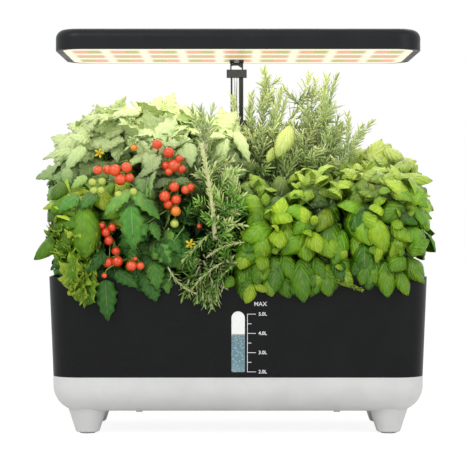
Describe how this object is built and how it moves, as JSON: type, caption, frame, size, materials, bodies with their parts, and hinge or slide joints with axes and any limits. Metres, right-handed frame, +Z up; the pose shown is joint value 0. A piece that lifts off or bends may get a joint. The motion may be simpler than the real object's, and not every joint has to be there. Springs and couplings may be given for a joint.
{
  "type": "countertop hydroponic garden",
  "caption": "Countertop hydroponic garden: black and white water tank on feet, lift-off planted grow deck with pump, and a height-adjustable LED grow lamp over the herbs.",
  "frame": {"origin": "on the worktop, midway between the four feet, at the centre of the whole object's plan", "axes": "+Z up, -Y to the front with the level window, +X to the right seen from the front"},
  "size_m": [0.41, 0.2, 0.405],
  "materials": {
    "white_abs": "smooth satin moulding",
    "rubber_pad": "matt",
    "black_abs": "satin gloss moulding",
    "dark_tank": "satin",
    "screw_steel": "plated",
    "clear_window": "clear moulding",
    "deck_abs": "fine grained moulding",
    "pump_plastic": "satin",
    "silicone_hose": "translucent",
    "cable_sheath": "matt",
    "circuit_green": "solder mask",
    "impeller_white": "moulded",
    "button_grey": "satin",
    "black_steel": "powder coated",
    "bright_steel": "drawn",
    "lamp_abs": "satin moulding",
    "lamp_cover": "clear sheet",
    "led_board": "white lacquer",
    "basket_plastic": "moulded",
    "lettuce_leaves": "frilled leaves",
    "tomato_leaves": "lobed leaves and fruit",
    "rosemary_leaves": "needles",
    "basil_leaves": "glossy leaves"
  },
  "bodies": {
    "tank": {"base_shell": "white_abs", "foot_pads": "rubber_pad", "outer_shell": "black_abs", "water_tank": "dark_tank", "base_screws": "screw_steel", "level_window": "clear_window", "window_gasket": "rubber_pad"},
    "deck": {"grow_deck": "deck_abs", "lid_hinge_pin": "screw_steel", "water_outlet": "deck_abs", "pump_body": "pump_plastic", "pump_cover": "pump_plastic", "rotor_shaft": "screw_steel", "riser_tube": "silicone_hose", "pump_lead": "cable_sheath", "control_box": "deck_abs", "circuit_board": "circuit_green", "power_inlet": "pump_plastic", "mast_column": "deck_abs", "column_screws": "screw_steel"},
    "fill_lid": {"fill_lid": "deck_abs"},
    "impeller": {"pump_impeller": "impeller_white"},
    "light_button": {"light_button": "button_grey"},
    "pump_button": {"pump_button": "button_grey"},
    "height_knob": {"height_knob": "pump_plastic"},
    "mast_slider": {"thin_rod": "black_steel", "steel_rod": "bright_steel", "lead_tube": "black_steel", "mast_collar": "pump_plastic", "lamp_yoke": "pump_plastic"},
    "lamp": {"lamp_housing": "lamp_abs", "lamp_bracket": "pump_plastic", "tilt_pin": "screw_steel", "lamp_cover": "lamp_cover", "led_board": "led_board", "bracket_screws": "screw_steel"},
    "pod_front_1": {"basket_front_1": "basket_plastic", "lettuce_front_1": "lettuce_leaves"},
    "pod_front_2": {"basket_front_2": "basket_plastic", "tomato_front_2": "tomato_leaves"},
    "pod_front_3": {"basket_front_3": "basket_plastic", "rosemary_front_3": "rosemary_leaves"},
    "pod_front_4": {"basket_front_4": "basket_plastic", "basil_front_4": "basil_leaves"},
    "pod_front_5": {"basket_front_5": "basket_plastic", "basil_front_5": "basil_leaves"},
    "pod_front_6": {"basket_front_6": "basket_plastic", "basil_front_6": "basil_leaves"},
    "pod_rear_1": {"basket_rear_1": "basket_plastic", "tomato_rear_1": "tomato_leaves"},
    "pod_rear_2": {"basket_rear_2": "basket_plastic", "tomato_rear_2": "tomato_leaves"},
    "pod_rear_3": {"basket_rear_3": "basket_plastic", "tomato_rear_3": "tomato_leaves"},
    "pod_rear_4": {"basket_rear_4": "basket_plastic", "rosemary_rear_4": "rosemary_leaves"},
    "pod_rear_5": {"basket_rear_5": "basket_plastic", "rosemary_rear_5": "rosemary_leaves"},
    "pod_rear_6": {"basket_rear_6": "basket_plastic", "basil_rear_6": "basil_leaves"}
  },
  "joints": [
    {"name": "deck_lift", "type": "slide", "parent": "tank", "child": "deck", "axis": [0, 0, 1], "range_m": [0, 0.14]},
    {"name": "lid_hinge", "type": "hinge", "parent": "deck", "child": "fill_lid", "pos_m": [0.1793, 0, 0.156], "axis": [0, 1, 0], "range_deg": [0, 80]},
    {"name": "impeller_spin", "type": "hinge", "parent": "deck", "child": "impeller", "pos_m": [0, 0, 0.0497], "axis": [1, 0, 0], "continuous": true},
    {"name": "light_button_press", "type": "slide", "parent": "deck", "child": "light_button", "axis": [0, 0, -1], "range_m": [0, 0.0008], "stiffness_N_per_m": 400},
    {"name": "pump_button_press", "type": "slide", "parent": "deck", "child": "pump_button", "axis": [0, 0, -1], "range_m": [0, 0.0008], "stiffness_N_per_m": 400},
    {"name": "height_knob_turn", "type": "hinge", "parent": "deck", "child": "height_knob", "pos_m": [-0.0011, 0.086, 0.31], "axis": [0, 1, 0], "range_deg": [0, 180]},
    {"name": "mast_height", "type": "slide", "parent": "deck", "child": "mast_slider", "axis": [0, 0, 1], "range_m": [0, 0.1]},
    {"name": "lamp_tilt", "type": "hinge", "parent": "mast_slider", "child": "lamp", "pos_m": [-0.0011, 0.075, 0.3885], "axis": [-1, 0, 0], "range_deg": [0, 15]},
    {"name": "pod_front_1_lift", "type": "slide", "parent": "deck", "child": "pod_front_1", "axis": [0, 0, 1], "range_m": [0, 0.1]},
    {"name": "pod_front_2_lift", "type": "slide", "parent": "deck", "child": "pod_front_2", "axis": [0, 0, 1], "range_m": [0, 0.068]},
    {"name": "pod_front_3_lift", "type": "slide", "parent": "deck", "child": "pod_front_3", "axis": [0, 0, 1], "range_m": [0, 0.08]},
    {"name": "pod_front_4_lift", "type": "slide", "parent": "deck", "child": "pod_front_4", "axis": [0, 0, 1], "range_m": [0, 0.1]},
    {"name": "pod_front_5_lift", "type": "slide", "parent": "deck", "child": "pod_front_5", "axis": [0, 0, 1], "range_m": [0, 0.1]},
    {"name": "pod_front_6_lift", "type": "slide", "parent": "deck", "child": "pod_front_6", "axis": [0, 0, 1], "range_m": [0, 0.1]},
    {"name": "pod_rear_1_lift", "type": "slide", "parent": "deck", "child": "pod_rear_1", "axis": [0, 0, 1], "range_m": [0, 0.042]},
    {"name": "pod_rear_2_lift", "type": "slide", "parent": "deck", "child": "pod_rear_2", "axis": [0, 0, 1], "range_m": [0, 0.042]},
    {"name": "pod_rear_3_lift", "type": "slide", "parent": "deck", "child": "pod_rear_3", "axis": [0, 0, 1], "range_m": [0, 0.042]},
    {"name": "pod_rear_4_lift", "type": "slide", "parent": "deck", "child": "pod_rear_4", "axis": [0, 0, 1], "range_m": [0, 0.012]},
    {"name": "pod_rear_5_lift", "type": "slide", "parent": "deck", "child": "pod_rear_5", "axis": [0, 0, 1], "range_m": [0, 0.014]},
    {"name": "pod_rear_6_lift", "type": "slide", "parent": "deck", "child": "pod_rear_6", "axis": [0, 0, 1], "range_m": [0, 0.076]}
  ]
}
